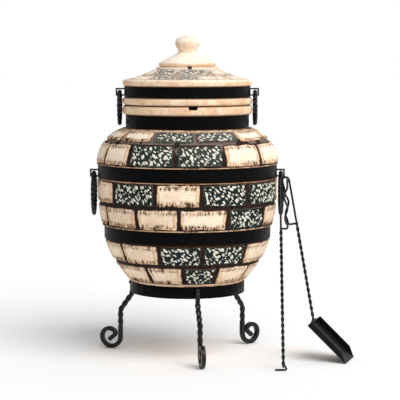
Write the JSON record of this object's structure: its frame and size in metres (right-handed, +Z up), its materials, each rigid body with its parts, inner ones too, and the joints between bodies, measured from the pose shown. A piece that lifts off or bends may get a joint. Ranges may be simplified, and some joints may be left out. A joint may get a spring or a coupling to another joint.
{
  "type": "clay tandoor oven",
  "caption": "Hooped clay tandoor on a scrolled three-legged iron stand, with a lift-off lid and flue cap, drop-ring handles, fire grate, air plug, poker and ash scoop.",
  "frame": {"origin": "on the stand's axis, at the floor it stands on", "axes": "+Z up, front towards -Y, the tools lean on the +X side"},
  "size_m": [0.7323, 0.5352, 0.887],
  "materials": {
    "clay": "matt fired clay, tiles hand painted cream and dark green",
    "hoop_steel": "satin black heat-proof paint",
    "wrought_iron": "semi-gloss black paint on forged bar",
    "grate_iron": "rough sand-cast",
    "black_sheet": "satin black sheet steel",
    "fasteners": "blackened"
  },
  "bodies": {
    "oven": {"vessel_foot": "clay", "vessel_ash_lower": "clay", "vessel_ash_upper": "clay", "vessel_wall": "clay", "vessel_neck": "clay", "neck_band": "hoop_steel", "belly_band": "hoop_steel", "lower_band": "hoop_steel", "body_band_bolts": "fasteners", "body_bracket_left": "wrought_iron", "body_bracket_right": "wrought_iron", "stand_ring": "hoop_steel", "leg_front": "wrought_iron", "leg_rear_left": "wrought_iron", "leg_rear_right": "wrought_iron", "leg_rivets": "fasteners"},
    "lid": {"lid_shell": "clay", "lid_band": "hoop_steel", "lid_band_bolt": "fasteners", "lid_bracket_left": "wrought_iron", "lid_bracket_right": "wrought_iron"},
    "cap": {"lid_cap": "clay"},
    "lid_ring_left": {"lid_ring_left": "wrought_iron"},
    "lid_ring_right": {"lid_ring_right": "wrought_iron"},
    "body_ring_left": {"body_ring_left": "wrought_iron"},
    "body_ring_right": {"body_ring_right": "wrought_iron"},
    "grate": {"fire_grate": "grate_iron"},
    "air_plug": {"air_plug": "clay"},
    "poker": {"poker": "wrought_iron"},
    "scoop": {"scoop_handle": "wrought_iron", "scoop_blade": "black_sheet", "scoop_rivets": "fasteners"}
  },
  "joints": [
    {"name": "lid_lift", "type": "slide", "parent": "oven", "child": "lid", "axis": [0, 0, 1], "range_m": [0, 0.3]},
    {"name": "cap_lift", "type": "slide", "parent": "lid", "child": "cap", "axis": [0, 0, 1], "range_m": [0, 0.15]},
    {"name": "lid_ring_left_swing", "type": "hinge", "parent": "lid", "child": "lid_ring_left", "pos_m": [-0.1876, 0, 0.7315], "axis": [0, 1, 0], "range_deg": [-2, 85]},
    {"name": "lid_ring_right_swing", "type": "hinge", "parent": "lid", "child": "lid_ring_right", "pos_m": [0.1876, 0, 0.7315], "axis": [0, -1, 0], "range_deg": [-2, 85]},
    {"name": "body_ring_left_swing", "type": "hinge", "parent": "oven", "child": "body_ring_left", "pos_m": [-0.26, 0, 0.507], "axis": [0, 1, 0], "range_deg": [-2, 85]},
    {"name": "body_ring_right_swing", "type": "hinge", "parent": "oven", "child": "body_ring_right", "pos_m": [0.26, 0, 0.507], "axis": [0, -1, 0], "range_deg": [-2, 85]},
    {"name": "grate_lift", "type": "slide", "parent": "oven", "child": "grate", "axis": [0, 0, 1], "range_m": [0, 0.36]},
    {"name": "air_plug_pull", "type": "slide", "parent": "oven", "child": "air_plug", "axis": [0, 1, 0], "range_m": [0, 0.12]},
    {"name": "poker_lift", "type": "slide", "parent": "oven", "child": "poker", "axis": [0, -0.5, 0.866], "range_m": [0, 0.4]},
    {"name": "scoop_lift", "type": "slide", "parent": "oven", "child": "scoop", "axis": [0.5, 0, 0.866], "range_m": [0, 0.4]}
  ]
}
